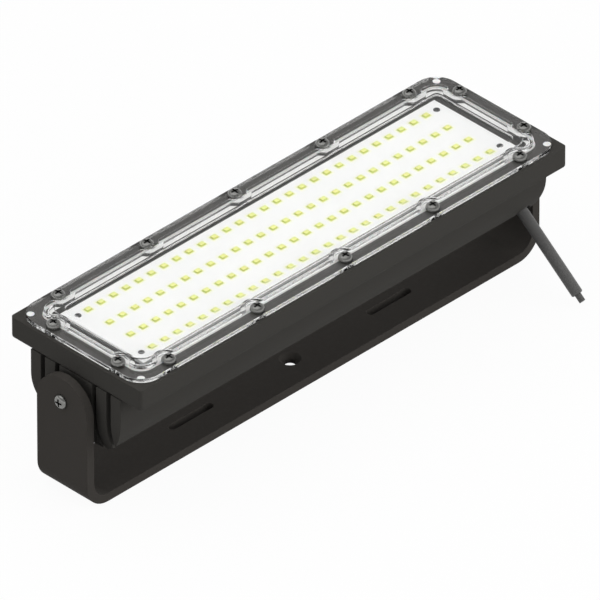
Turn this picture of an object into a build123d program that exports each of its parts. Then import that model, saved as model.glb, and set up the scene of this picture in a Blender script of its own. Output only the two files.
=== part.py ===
from build123d import *
from math import cos, radians, sin, sqrt
import os

# LED flood light: a cast housing with a clear cover over one long LED board, tilting in a U-bracket.
# +X runs along the lamp towards its lead, -Y is the front and +Z is the way the light leaves.
# The origin is the middle of the bracket's underside. All sizes are in millimetres.

os.makedirs("parts", exist_ok=True)

# LED board
led_pitch = 9.0
led_columns = 28
inner_row = 7.5                 # centre line to the two inner rows
outer_row = 23.0                # centre line to the two outer rows
led_length = 3.5                # along X
led_width = 2.8
led_height = 0.8
led_wall = 0.3                  # package's side to its phosphor
phosphor_depth = 0.3
board_margin_x = 13.0           # last LED's centre to the board's end
board_margin_y = 7.0
board_thickness = 1.6
board_set_down = 1.0            # flange's top to the board's top
thermal_pad_thickness = 0.5
board_screw_inset_x = 5.5
board_screw_inset_y = 7.2

# Seal and clear cover, from the board's pocket outwards
pocket_gap_x = 4.8              # board's end to the pocket's wall
pocket_gap_y = 3.0
pocket_corner = 3.0
cavity_step = 2.5               # pocket's wall to the inside of the raised part of the cover
seal_land = 0.5                 # that inside wall to the gasket
gasket_width = 1.8
gasket_depth = 1.8
gasket_to_screws = 1.95         # gasket's outer edge to the line of screws
screws_to_rim = 5.25            # line of screws to the cover's edge
flange_ledge = 2.0              # cover's edge to the flange's edge
cover_wall = 2.5
cover_ceiling = 2.2
rim_thickness = 2.6
rim_corner = 12.5
dome_height = 1.8
dome_corner = 10.0
dome_edge_round = 0.8
bead_height = 0.7
bead_width = 5.6
bead_inset = 4.3                # dome's wall to the bead
bead_round = 0.5

# Screws of the cover and the board
cover_screw_diameter = 3.0
cover_screw_depth = 9.0         # thread inside the flange
cover_head_diameter = 7.8
cover_head_height = 2.7
head_relief = 2.1               # screw's head to the scalloped wall of the cover
scallop_blend = 1.5
side_screw_count = 5
side_screw_inset = 19.75        # corner of the screw line to the first screw on a long side
end_screw_inset = 16.55         # the same on a short side
plug_diameter = 4.1
plug_length = 6.0
board_screw_diameter = 2.0
board_screw_depth = 4.0
board_head_diameter = 3.6
board_head_height = 0.7

# Housing
flange_height = 13.0
flange_corner = 2.0
flange_back_corner = 12.0       # the one corner that is rounded like the cover
flange_lower_round = 1.8
hull_radius = 32.3
hull_side_height = 13.3         # flange's underside to the half-round
end_round_radius = 48.0
end_round_drop = 3.0            # hull's centre line to where its ends start to round in
centre_block_width = 23.3
slot_width = 3.1
fin_thickness = 7.3

# Bracket and pivot
strip_width = 36.0
strip_thickness = 5.0
strip_bend_radius = 15.0
hull_over_base = 21.3           # bracket's base to the hull's lowest line
pivot_rise = 2.0                # hull's centre line to the pivot
leg_gap = 4.9                   # flange's end to the leg
leg_round_drop = 4.1            # pivot to the middle of the leg's half-round end
base_hole_diameter = 6.6
base_countersink_diameter = 11.6
base_countersink_angle = 90
base_slot_length = 31.0
base_slot_width = 4.8
base_slot_spacing = 143.0
pivot_screw_diameter = 5.0
pivot_screw_depth = 14.0        # thread inside the housing
pivot_head_diameter = 8.0
pivot_head_height = 2.6
spacer_diameter = 12.0
friction_washer_diameter = 16.0
friction_washer_thickness = 1.0

# Lead and its entry
cable_diameter = 6.4
cable_angle = 38.6              # below the level, in degrees
cable_from_end = 10.2           # flange's end to the lead's centre
cable_free_length = 51.3        # hull's surface to the end of the jacket
cable_inside_length = 15.3      # hull's surface to the jacket's inner end
core_diameter = 3.5
core_length = 4.5
entry_diameter = 9.6
entry_boss_diameter = 15.0      # solid metal round the entry, across the slots
grommet_length = 6.5
grommet_recess = 0.7
potting_length = 7.0
wire_diameter = 1.6
wire_spacing = 1.9
wire_bend_radius = 3.0
wire_channel_diameter = 7.0
wire_channel_inset = 7.0        # board's end to the middle of the rising channel
wire_run = 2.0                  # straight wires between the potting and their turn

# Fits and cross recesses
clearance = 0.05                # radial gap of a pin in its hole
screw_hole_play = 0.25          # radial gap of a screw in a piece that it clamps
cross_reach = 0.6               # cross recess as a share of its head
cross_width = 0.9
cross_depth = 1.1
head_round_share = 0.55         # rounding of a pan head as a share of its height
overcut = 2.0                   # how far a cutting shape runs past what it cuts

# Heights that follow
base_top = strip_thickness
hull_bottom = base_top + hull_over_base
hull_axis = hull_bottom + hull_radius
pivot_z = hull_axis + pivot_rise
leg_round_z = pivot_z - leg_round_drop
flange_bottom = hull_axis + hull_side_height
flange_top = flange_bottom + flange_height
rim_top = flange_top + rim_thickness
dome_top = rim_top + dome_height
board_top = flange_top - board_set_down
board_bottom = board_top - board_thickness
pocket_floor = board_bottom - thermal_pad_thickness
led_top = board_top + led_height
phosphor_length = led_length - 2 * led_wall
phosphor_width = led_width - 2 * led_wall

# Half sizes that follow, each as (along X, along Y)
board_half = (led_pitch * (led_columns - 1) / 2 + board_margin_x, outer_row + board_margin_y)
pocket_half = (board_half[0] + pocket_gap_x, board_half[1] + pocket_gap_y)


def grown(half, amount):
    """Half sizes of a rectangle that is larger by the amount on every side."""
    return (half[0] + amount, half[1] + amount)


cavity_half = grown(pocket_half, cavity_step)
dome_half = grown(cavity_half, cover_wall)
gasket_inner_half = grown(cavity_half, seal_land)
gasket_outer_half = grown(gasket_inner_half, gasket_width)
screw_line = grown(gasket_outer_half, gasket_to_screws)
rim_half = grown(screw_line, screws_to_rim)
flange_half = grown(rim_half, flange_ledge)
bead_outer_half = grown(dome_half, -bead_inset)
bead_inner_half = grown(bead_outer_half, -bead_width)
leg_inside = flange_half[0] + leg_gap
leg_outside = leg_inside + strip_thickness
pivot_bore_radius = pivot_screw_diameter / 2 + clearance
cable_x = flange_half[0] - cable_from_end
channel_x = board_half[0] - wire_channel_inset

# Places that repeat
led_columns_x = [led_pitch * (column - (led_columns - 1) / 2) for column in range(led_columns)]
led_rows_y = [-outer_row, -inner_row, inner_row, outer_row]
led_places = [(x, y) for y in led_rows_y for x in led_columns_x]
side_screw_step = 2 * (screw_line[0] - side_screw_inset) / (side_screw_count - 1)
side_screw_x = [side_screw_step * (i - (side_screw_count - 1) / 2) for i in range(side_screw_count)]
cover_screw_places = [(x, y) for x in side_screw_x for y in (-screw_line[1], screw_line[1])]
cover_screw_places += [
    (x, y)
    for x in (-screw_line[0], screw_line[0])
    for y in (end_screw_inset - screw_line[1], screw_line[1] - end_screw_inset)
]
plug_places = [(x, y) for x in (-screw_line[0], screw_line[0]) for y in (-screw_line[1], screw_line[1])]
board_screw_places = [
    (x, y)
    for x in (board_screw_inset_x - board_half[0], board_half[0] - board_screw_inset_x)
    for y in (board_screw_inset_y - board_half[1], board_half[1] - board_screw_inset_y)
]
slot_1 = (centre_block_width + slot_width) / 2
slot_2 = slot_1 + slot_width + fin_thickness
slot_places = [(0, y) for y in (-slot_2, -slot_1, slot_1, slot_2)]

# The lead's plane: its origin is on the hull's centre line and its normal runs out along the lead
cable_slope = radians(cable_angle)
cable_plane = Plane(
    origin=(cable_x, 0, hull_axis), x_dir=(1, 0, 0), z_dir=(0, -cos(cable_slope), -sin(cable_slope))
)
jacket_start = hull_radius - cable_inside_length
jacket_end = hull_radius + cable_free_length
wire_turn_radius = jacket_start - potting_length - wire_run
wire_turn = cable_plane.from_local_coords((0, 0, wire_turn_radius))


def finish(builder, name):
    """Name a finished sub-part and write it."""
    builder.part.label = name
    export_step(builder.part, f"parts/{name}.step")


def pan_screws(plane, places, head_diameter, head_height, shank_diameter, shank_length):
    """Screws whose heads stand on the plane, with their shanks below it."""
    axis = Axis(plane.origin, plane.z_dir)
    with BuildPart() as screws:
        with BuildSketch(plane):
            with Locations(*places):
                Circle(head_diameter / 2)
        extrude(amount=head_height)
        fillet(screws.edges().group_by(axis)[-1], radius=head_height * head_round_share)
        with BuildSketch(plane.offset(head_height)):
            with Locations(*places):
                Rectangle(head_diameter * cross_reach, cross_width)
                Rectangle(cross_width, head_diameter * cross_reach)
        extrude(amount=-cross_depth, mode=Mode.SUBTRACT)
        with BuildSketch(plane):
            with Locations(*places):
                Circle(shank_diameter / 2)
        extrude(amount=-shank_length)
    return screws


def ring(plane, outer_radius, inner_radius, length):
    """A plain ring that stands on the plane."""
    with BuildPart() as part:
        with BuildSketch(plane):
            Circle(outer_radius)
            Circle(inner_radius, mode=Mode.SUBTRACT)
        extrude(amount=length)
    return part


def scalloped_outline(half, corner, relief):
    """A rounded rectangle, notched round every cover screw, with its points rounded off."""
    with BuildSketch(Plane.XY) as outline:
        RectangleRounded(2 * half[0], 2 * half[1], corner)
        with Locations(*cover_screw_places):
            Circle(relief, mode=Mode.SUBTRACT)
        offset(amount=-scallop_blend, mode=Mode.REPLACE)
        offset(amount=scallop_blend, mode=Mode.REPLACE)
    return outline.sketch


# U-bracket: one bent strip whose legs end in a half circle
with BuildPart() as u_bracket:
    with BuildSketch(Plane.XZ):
        with BuildLine():
            outside = FilletPolyline(
                (-leg_outside, pivot_z + strip_width),
                (-leg_outside, 0),
                (leg_outside, 0),
                (leg_outside, pivot_z + strip_width),
                radius=strip_bend_radius,
            )
            inside = FilletPolyline(
                (-leg_inside, pivot_z + strip_width),
                (-leg_inside, base_top),
                (leg_inside, base_top),
                (leg_inside, pivot_z + strip_width),
                radius=strip_bend_radius - strip_thickness,
            )
            Line(outside @ 0, inside @ 0)
            Line(outside @ 1, inside @ 1)
        make_face()
    extrude(amount=strip_width / 2, both=True)
    with BuildSketch(Plane.YZ):
        with Locations((0, leg_round_z / 2)):
            Rectangle(strip_width, leg_round_z)
        with Locations((0, leg_round_z)):
            Circle(strip_width / 2)
    extrude(amount=leg_outside + overcut, both=True, mode=Mode.INTERSECT)
    with BuildSketch(Plane.YZ):
        with Locations((0, pivot_z)):
            Circle(pivot_bore_radius)
    extrude(amount=leg_outside + overcut, both=True, mode=Mode.SUBTRACT)
    with Locations(Plane.XY.offset(base_top)):
        CounterSinkHole(
            base_hole_diameter / 2, base_countersink_diameter / 2, counter_sink_angle=base_countersink_angle
        )
    with BuildSketch(Plane.XY):
        with GridLocations(base_slot_spacing, 0, 2, 1):
            SlotOverall(base_slot_length, base_slot_width)
    extrude(amount=strip_thickness, mode=Mode.SUBTRACT)
finish(u_bracket, "u_bracket")

# Cutter for the cooling slots, which leaves the metal round the lead's entry
with BuildPart() as slot_cutter:
    with BuildSketch(Plane.XY.offset(hull_bottom - overcut)):
        with Locations(*slot_places):
            Rectangle(2 * (flange_half[0] + overcut), slot_width)
    extrude(amount=flange_bottom - hull_bottom + overcut)
    with BuildSketch(cable_plane):
        Circle(entry_boss_diameter / 2)
    extrude(amount=hull_radius + overcut, mode=Mode.SUBTRACT)

# Hull: a half-round body under the flange, its ends rounded in and its slots running end to end
end_round_height = hull_radius - end_round_drop
end_round_depth = end_round_radius - sqrt(end_round_radius**2 - end_round_height**2)
with BuildPart() as hull:
    with BuildSketch(Plane.YZ):
        with Locations((0, hull_axis)):
            Circle(hull_radius)
        with Locations((0, (hull_axis + flange_bottom) / 2)):
            Rectangle(2 * hull_radius, hull_side_height)
        with Locations((0, flange_bottom + hull_radius)):
            Rectangle(2 * hull_radius, 2 * hull_radius, mode=Mode.SUBTRACT)
    extrude(amount=flange_half[0], both=True)
    with BuildSketch(Plane.XZ):
        with BuildLine():
            end_x = flange_half[0]
            left_round = RadiusArc(
                (-end_x, hull_axis - end_round_drop), (end_round_depth - end_x, hull_bottom), -end_round_radius
            )
            right_round = RadiusArc(
                (end_x - end_round_depth, hull_bottom), (end_x, hull_axis - end_round_drop), -end_round_radius
            )
            Line(left_round @ 1, right_round @ 0)
            Polyline(right_round @ 1, (end_x, flange_bottom), (-end_x, flange_bottom), left_round @ 0)
        make_face()
    extrude(amount=hull_radius + overcut, both=True, mode=Mode.INTERSECT)
    add(slot_cutter.part, mode=Mode.SUBTRACT)

# Housing: the flange and the hull as one casting, with its pocket, groove, holes and lead entry
with BuildPart() as housing:
    with BuildSketch(Plane.XY.offset(flange_bottom)) as flange_outline:
        Rectangle(2 * flange_half[0], 2 * flange_half[1])
        back_corner = flange_outline.vertices().sort_by(Axis.X)[2:].sort_by(Axis.Y)[-1]
        fillet(back_corner, radius=flange_back_corner)
        square_corners = [
            v
            for v in flange_outline.vertices()
            if abs(abs(v.X) - flange_half[0]) + abs(abs(v.Y) - flange_half[1]) < clearance
        ]
        fillet(square_corners, radius=flange_corner)
    extrude(amount=flange_height)
    fillet(housing.edges().group_by(Axis.Z)[0], radius=flange_lower_round)
    add(hull.part)
    with BuildSketch(Plane.XY.offset(flange_top)):
        RectangleRounded(2 * pocket_half[0], 2 * pocket_half[1], pocket_corner)
    extrude(amount=pocket_floor - flange_top, mode=Mode.SUBTRACT)
    with BuildSketch(Plane.XY.offset(flange_top)):
        groove_outer = grown(gasket_outer_half, clearance)
        groove_inner = grown(gasket_inner_half, -clearance)
        groove_corner = pocket_corner + cavity_step + seal_land
        RectangleRounded(2 * groove_outer[0], 2 * groove_outer[1], groove_corner + gasket_width)
        RectangleRounded(2 * groove_inner[0], 2 * groove_inner[1], groove_corner, mode=Mode.SUBTRACT)
    extrude(amount=-gasket_depth, mode=Mode.SUBTRACT)
    with BuildSketch(Plane.XY.offset(flange_top)):
        with Locations(*cover_screw_places):
            Circle(cover_screw_diameter / 2 + clearance)
    extrude(amount=-cover_screw_depth, mode=Mode.SUBTRACT)
    with BuildSketch(Plane.XY.offset(flange_top)):
        with Locations(*plug_places):
            Circle(plug_diameter / 2 + clearance)
    extrude(amount=-plug_length, mode=Mode.SUBTRACT)
    with BuildSketch(Plane.XY.offset(pocket_floor)):
        with Locations(*board_screw_places):
            Circle(board_screw_diameter / 2 + clearance)
    extrude(amount=-board_screw_depth, mode=Mode.SUBTRACT)
    for end_plane in (Plane.YZ.offset(flange_half[0]), Plane.YZ.offset(-flange_half[0])):
        inward = -pivot_screw_depth if end_plane.origin.X > 0 else pivot_screw_depth
        with BuildSketch(end_plane):
            with Locations((0, pivot_z)):
                Circle(pivot_bore_radius)
        extrude(amount=inward, mode=Mode.SUBTRACT)
    with BuildSketch(cable_plane.offset(wire_turn_radius - wire_diameter)):
        Circle(entry_diameter / 2)
    extrude(amount=hull_radius, mode=Mode.SUBTRACT)
    channel_radius = wire_channel_diameter / 2
    with BuildSketch(Plane.YZ.offset(channel_x - channel_radius)):
        with Locations((wire_turn.Y, wire_turn.Z)):
            Circle(channel_radius)
    extrude(amount=cable_x - channel_x + channel_radius, mode=Mode.SUBTRACT)
    with BuildSketch(Plane.XY.offset(wire_turn.Z - channel_radius)):
        with Locations((channel_x, wire_turn.Y)):
            Circle(channel_radius)
    extrude(amount=pocket_floor - wire_turn.Z + channel_radius, mode=Mode.SUBTRACT)
finish(housing, "housing")

# Thermal pad under the board, open at the screws and the wires
with BuildPart() as thermal_pad:
    with BuildSketch(Plane.XY.offset(pocket_floor)):
        Rectangle(2 * board_half[0], 2 * board_half[1])
        with Locations(*board_screw_places):
            Circle(board_screw_diameter / 2 + screw_hole_play, mode=Mode.SUBTRACT)
        with Locations((channel_x, wire_turn.Y)):
            Circle(wire_channel_diameter / 2, mode=Mode.SUBTRACT)
    extrude(amount=thermal_pad_thickness)
finish(thermal_pad, "thermal_pad")

# LED board
with BuildPart() as led_board:
    with BuildSketch(Plane.XY.offset(board_bottom)):
        Rectangle(2 * board_half[0], 2 * board_half[1])
        with Locations(*board_screw_places):
            Circle(board_screw_diameter / 2 + screw_hole_play, mode=Mode.SUBTRACT)
    extrude(amount=board_thickness)
finish(led_board, "led_board")

# LED packages, each a small frame round its phosphor
with BuildPart() as led_packages:
    with BuildSketch(Plane.XY.offset(board_top)):
        with Locations(*led_places):
            Rectangle(led_length, led_width)
    extrude(amount=led_height)
    with BuildSketch(Plane.XY.offset(led_top)):
        with Locations(*led_places):
            Rectangle(phosphor_length, phosphor_width)
    extrude(amount=-phosphor_depth, mode=Mode.SUBTRACT)
finish(led_packages, "led_packages")

with BuildPart() as led_phosphors:
    with BuildSketch(Plane.XY.offset(led_top - phosphor_depth)):
        with Locations(*led_places):
            Rectangle(phosphor_length, phosphor_width)
    extrude(amount=phosphor_depth)
finish(led_phosphors, "led_phosphors")

board_screws = pan_screws(
    Plane.XY.offset(board_top),
    board_screw_places,
    board_head_diameter,
    board_head_height,
    board_screw_diameter,
    board_thickness + thermal_pad_thickness + board_screw_depth,
)
finish(board_screws, "board_screws")

# Gasket in its groove
with BuildPart() as cover_gasket:
    with BuildSketch(Plane.XY.offset(flange_top)):
        RectangleRounded(2 * gasket_outer_half[0], 2 * gasket_outer_half[1], groove_corner + gasket_width)
        RectangleRounded(2 * gasket_inner_half[0], 2 * gasket_inner_half[1], groove_corner, mode=Mode.SUBTRACT)
    extrude(amount=-gasket_depth)
finish(cover_gasket, "cover_gasket")

# Clear cover: a rim, a raised part scalloped round the screws, and a bead round the window
scallop_radius = cover_head_diameter / 2 + head_relief
dome_outline = scalloped_outline(dome_half, dome_corner, scallop_radius)
cavity_outline = scalloped_outline(cavity_half, dome_corner - cover_wall, scallop_radius + cover_wall)
with BuildPart() as lens_cover:
    with BuildSketch(Plane.XY.offset(flange_top)):
        RectangleRounded(2 * rim_half[0], 2 * rim_half[1], rim_corner)
        with Locations(*cover_screw_places):
            Circle(cover_screw_diameter / 2 + screw_hole_play, mode=Mode.SUBTRACT)
    extrude(amount=rim_thickness)
    with BuildSketch(Plane.XY.offset(rim_top)):
        add(dome_outline)
    extrude(amount=dome_height)
    fillet(lens_cover.edges().group_by(Axis.Z)[-1], radius=dome_edge_round)
    with BuildSketch(Plane.XY.offset(dome_top)):
        bead_corner = dome_corner - bead_inset
        RectangleRounded(2 * bead_outer_half[0], 2 * bead_outer_half[1], bead_corner + bead_width / 2)
        RectangleRounded(
            2 * bead_inner_half[0], 2 * bead_inner_half[1], bead_corner - bead_width / 2, mode=Mode.SUBTRACT
        )
    extrude(amount=bead_height)
    fillet(lens_cover.edges().group_by(Axis.Z)[-1], radius=bead_round)
    with BuildSketch(Plane.XY.offset(flange_top)):
        add(cavity_outline)
    extrude(amount=dome_top - cover_ceiling - flange_top, mode=Mode.SUBTRACT)
finish(lens_cover, "lens_cover")

cover_screws = pan_screws(
    Plane.XY.offset(rim_top),
    cover_screw_places,
    cover_head_diameter,
    cover_head_height,
    cover_screw_diameter,
    rim_thickness + cover_screw_depth,
)
finish(cover_screws, "cover_screws")

# Plugs in the four spare holes at the corners of the flange
with BuildPart() as corner_plugs:
    with BuildSketch(Plane.XY.offset(flange_top)):
        with Locations(*plug_places):
            Circle(plug_diameter / 2)
    extrude(amount=-plug_length)
finish(corner_plugs, "corner_plugs")

# Pivot hardware at each end, from the housing outwards
spacer_thickness = leg_gap - friction_washer_thickness
for side, outward in (("left", -1), ("right", 1)):
    end_normal = (outward, 0, 0)
    spacer_plane = Plane(origin=(outward * flange_half[0], 0, pivot_z), z_dir=end_normal)
    spacer = ring(spacer_plane, spacer_diameter / 2, pivot_bore_radius, spacer_thickness)
    finish(spacer, f"pivot_spacer_{side}")
    washer_plane = spacer_plane.offset(spacer_thickness)
    washer = ring(washer_plane, friction_washer_diameter / 2, pivot_bore_radius, friction_washer_thickness)
    finish(washer, f"friction_washer_{side}")
    pivot_screw = pan_screws(
        Plane(origin=(outward * leg_outside, 0, pivot_z), z_dir=end_normal),
        [(0, 0)],
        pivot_head_diameter,
        pivot_head_height,
        pivot_screw_diameter,
        strip_thickness + leg_gap + pivot_screw_depth,
    )
    finish(pivot_screw, f"pivot_screw_{side}")

# Lead: a straight jacket and its stripped core
with BuildPart() as power_cable:
    with BuildSketch(cable_plane.offset(jacket_start)):
        Circle(cable_diameter / 2)
    extrude(amount=jacket_end - jacket_start)
finish(power_cable, "power_cable")

with BuildPart() as cable_core:
    with BuildSketch(cable_plane.offset(jacket_end)):
        Circle(core_diameter / 2)
    extrude(amount=core_length)
finish(cable_core, "cable_core")

# Rubber bush round the lead in the hull's wall, and the potting behind the jacket
seal_radius = entry_diameter / 2 - clearance
cable_grommet = ring(
    cable_plane.offset(hull_radius - grommet_recess - grommet_length),
    seal_radius,
    cable_diameter / 2 + clearance,
    grommet_length,
)
finish(cable_grommet, "cable_grommet")

potting_hole_radius = wire_spacing + wire_diameter / 2
potting_plug = ring(
    cable_plane.offset(jacket_start - potting_length), seal_radius, potting_hole_radius, potting_length
)
finish(potting_plug, "potting_plug")

# Two wires from the lead's inner end to the underside of the board
wire_offset = Vector(1, -sin(cable_slope), cos(cable_slope)) * (wire_spacing / 2)
with BuildPart() as inner_wires:
    for sign in (-1, 1):
        shift = wire_offset * sign
        start = cable_plane.from_local_coords((0, 0, jacket_start)) + shift
        turn = wire_turn + shift
        rise = Vector(channel_x, wire_turn.Y, wire_turn.Z) + shift
        with BuildLine() as wire_path:
            FilletPolyline(start, turn, rise, (rise.X, rise.Y, board_bottom), radius=wire_bend_radius)
        with BuildSketch(Plane(origin=start, z_dir=wire_path.line % 0)):
            Circle(wire_diameter / 2)
        sweep(path=wire_path.line)
finish(inner_wires, "inner_wires")
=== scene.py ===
# %% [markdown]
# # Dressing an LED flood light
# The real lamp is a dark cast housing with a clear moulded cover over one long board of LEDs. It tilts in
# a bent steel bracket. The CAD model already holds every solid in its place, in metres: +X runs along the
# lamp to its lead, -Y is the front and +Z is the way the light leaves at rest. So nothing here is moved
# to fit. This lesson takes a photograph of the lamp and dresses the model until a render looks like it:
# first the camera, then the lead, the finishes, the pieces that repeat and the clear cover, and last the
# floor and the lamps.

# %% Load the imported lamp
import math

import bpy
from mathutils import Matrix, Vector


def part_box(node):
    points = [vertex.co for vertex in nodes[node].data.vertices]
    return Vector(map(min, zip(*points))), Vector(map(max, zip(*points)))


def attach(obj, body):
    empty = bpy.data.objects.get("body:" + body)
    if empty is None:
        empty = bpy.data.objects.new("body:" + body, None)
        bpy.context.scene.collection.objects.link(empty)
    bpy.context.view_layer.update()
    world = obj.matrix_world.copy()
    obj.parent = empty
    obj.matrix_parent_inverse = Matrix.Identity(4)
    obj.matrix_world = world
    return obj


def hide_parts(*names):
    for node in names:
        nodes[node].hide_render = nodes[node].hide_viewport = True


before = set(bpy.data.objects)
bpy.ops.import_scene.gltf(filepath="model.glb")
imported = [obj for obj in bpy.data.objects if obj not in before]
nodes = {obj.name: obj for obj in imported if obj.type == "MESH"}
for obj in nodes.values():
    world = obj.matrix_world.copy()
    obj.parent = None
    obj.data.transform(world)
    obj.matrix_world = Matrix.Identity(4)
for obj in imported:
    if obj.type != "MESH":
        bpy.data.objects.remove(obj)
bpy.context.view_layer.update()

millimetre = 0.001

# %% [markdown]
# ## The camera
# All three directions of the lamp have the same scale in the photograph, and its long lines stay
# parallel. That is an isometric view, so the camera looks along the diagonal of a cube. An orthographic
# camera would match it, but a very long lens does too and can still step back for the other views. The
# distance follows from the lens and from how wide the picture is at the lamp.

# %% Place the camera
view_width = 305.35 * millimetre
view_centre = Vector((-10.7, -17.9, 56.0)) * millimetre
towards_camera = Vector((-1, -1, 1)).normalized()
long_lens = 1500.0
sensor_width = 36.0


def place_camera(centre, direction, width):
    """A camera that sees this width at the centre, from this direction."""
    data = bpy.data.cameras.new("photo_camera")
    data.lens, data.sensor_width = long_lens, sensor_width
    distance = width * long_lens / sensor_width
    data.clip_start, data.clip_end = distance / 2, distance * 2
    camera = bpy.data.objects.new("photo_camera", data)
    bpy.context.scene.collection.objects.link(camera)
    camera.location = centre + direction * distance
    camera.rotation_euler = direction.to_track_quat("Z", "Y").to_euler()
    bpy.context.scene.camera = camera
    return distance


camera_distance = place_camera(view_centre, towards_camera, view_width)
print("camera at", round(camera_distance, 2), "m")

# %% [markdown]
# ## The lead
# The supply lead comes out of the lower front of the round hull, near its right end. It is short and
# thick for its length, so it holds itself straight, and its end is stripped to a thinner core. A cord is
# best drawn as a curve: one smooth spline for the centre line, with a round bevel for the jacket. The
# line starts just inside the rubber bush.

# %% Draw the lead
lead_slope = math.radians(38.6)
lead_way = Vector((0, -math.cos(lead_slope), -math.sin(lead_slope)))
lead_diameter = 6.4 * millimetre
lead_free_length = 51.3 * millimetre
hull_radius = 32.3 * millimetre
hull_centre = Vector((143.1, 0, 58.6)) * millimetre
inside_bush = 1.2 * millimetre


def lead_point(reach):
    """A point of the lead's line, this far from the hull's centre line."""
    return hull_centre + lead_way * reach


lead_end = hull_radius + lead_free_length
shares_of_way = (0.35, 0.7)
steps_from_end = (1.6, 0.8, 0.3, 0.0)
lead_route = [lead_point(hull_radius - inside_bush)]
lead_route += [lead_point(hull_radius + lead_free_length * share) for share in shares_of_way]
lead_route += [lead_point(lead_end - step * millimetre) for step in steps_from_end]
worn_end = [0.97, 0.8]


def round_cord(name, route, diameter, end_shares):
    """A round cord along one open spline, whose last points are narrowed by the end shares.

    The bevel is 1 m and each point carries the cord's radius, so the curve's own box is as slim as the cord.
    """
    curve = bpy.data.curves.new(name, "CURVE")
    curve.dimensions = "3D"
    curve.bevel_depth = 1.0
    curve.bevel_resolution = 7
    curve.use_fill_caps = True
    spline = curve.splines.new("NURBS")
    spline.points.add(len(route) - 1)
    for point, place in zip(spline.points, route):
        point.co = (*place, 1)
        point.radius = diameter / 2
    for back, end_share in enumerate(reversed(end_shares), start=1):
        spline.points[len(route) - back].radius *= end_share
    spline.order_u = 3
    spline.use_endpoint_u = True
    spline.use_smooth = True
    cord = bpy.data.objects.new(name, curve)
    bpy.context.scene.collection.objects.link(cord)
    return cord


lead = round_cord("lead_jacket", lead_route, lead_diameter, worn_end)
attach(lead, "head")
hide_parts("power_cable")

# %% [markdown]
# ## Helpers for node trees
# Every finish and every repeated piece below is a node tree. A few small helpers keep them readable. The
# first adds a node and fills its inputs, either with a value or with a link from another node's output.
# The second opens a new group with named inputs and outputs. The others do one sum, find the point of the
# surface, and take a vector apart.

# %% Node helpers


def add(tree, kind, values=None, **settings):
    """Add a node. Each value is a plain setting of the input, or a socket to link to it."""
    node = tree.nodes.new(kind)
    for key, setting in settings.items():
        setattr(node, key, setting)
    for key, value in (values or {}).items():
        if isinstance(value, bpy.types.NodeSocket):
            tree.links.new(value, node.inputs[key])
        else:
            node.inputs[key].default_value = value
    return node


def new_group(name, kind, inputs, outputs):
    """An empty node group, and its two end nodes. Inputs are name: (socket type, default)."""
    tree = bpy.data.node_groups.new(name, kind)
    for label, (socket_type, default) in inputs.items():
        socket = tree.interface.new_socket(label, in_out="INPUT", socket_type=socket_type)
        if default is not None:
            socket.default_value = default
    for label, socket_type in outputs.items():
        tree.interface.new_socket(label, in_out="OUTPUT", socket_type=socket_type)
    return tree, tree.nodes.new("NodeGroupInput").outputs, tree.nodes.new("NodeGroupOutput").inputs


def math_node(tree, operation, first, second=0.0):
    """One sum, and the socket that carries its result."""
    return add(tree, "ShaderNodeMath", {0: first, 1: second}, operation=operation).outputs[0]


def object_place(tree):
    """The point of the surface, in the object's own coordinates."""
    return add(tree, "ShaderNodeTexCoord").outputs["Object"]


def part_of(tree, vector, axis):
    """The X, Y or Z of a vector."""
    return add(tree, "ShaderNodeSeparateXYZ", {0: vector}).outputs[axis]


print("helpers ready")

# %% [markdown]
# ## Effects that the finishes share
# Three things show on nearly every surface of the lamp, so each is one shader group that every material
# can use with its own values. The grain of a cast or sprayed skin is two sizes of noise. A worn edge is
# found with the Bevel node, which rounds the normals near an edge: where they turn away from the face's
# own normal, paint gets thin and pale. Dust is a soft noise that stays only on faces that look up.

# %% Grain of a skin
skin_grain, inside, out = new_group(
    "Skin grain",
    "ShaderNodeTree",
    {"Grain Size": ("NodeSocketFloat", 0.5 * millimetre), "Patch Size": ("NodeSocketFloat", 30 * millimetre)},
    {"Height": "NodeSocketFloat", "Patches": "NodeSocketFloat"},
)
place = object_place(skin_grain)
fine = add(
    skin_grain,
    "ShaderNodeTexNoise",
    {"Vector": place, "Scale": math_node(skin_grain, "DIVIDE", 1.0, inside["Grain Size"]), "Detail": 3.0},
)
broad = add(
    skin_grain,
    "ShaderNodeTexNoise",
    {"Vector": place, "Scale": math_node(skin_grain, "DIVIDE", 1.0, inside["Patch Size"]), "Detail": 4.0},
)
skin_grain.links.new(fine.outputs["Fac"], out["Height"])
skin_grain.links.new(broad.outputs["Fac"], out["Patches"])
print("group:", skin_grain.name)

# %% Worn edges
worn_edges, inside, out = new_group(
    "Worn edges",
    "ShaderNodeTree",
    {"Radius": ("NodeSocketFloat", 0.6 * millimetre)},
    {"Wear": "NodeSocketFloat", "Normal": "NodeSocketVector"},
)
rounded = add(worn_edges, "ShaderNodeBevel", {"Radius": inside["Radius"]}, samples=4)
flat = add(worn_edges, "ShaderNodeNewGeometry").outputs["Normal"]
agreement = add(
    worn_edges, "ShaderNodeVectorMath", {0: rounded.outputs["Normal"], 1: flat}, operation="DOT_PRODUCT"
)
turned = add(
    worn_edges,
    "ShaderNodeMapRange",
    {"Value": agreement.outputs["Value"], "From Min": 0.995, "From Max": 0.85, "To Min": 0.0, "To Max": 1.0},
)
worn_edges.links.new(turned.outputs["Result"], out["Wear"])
worn_edges.links.new(rounded.outputs["Normal"], out["Normal"])
print("group:", worn_edges.name)

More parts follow.
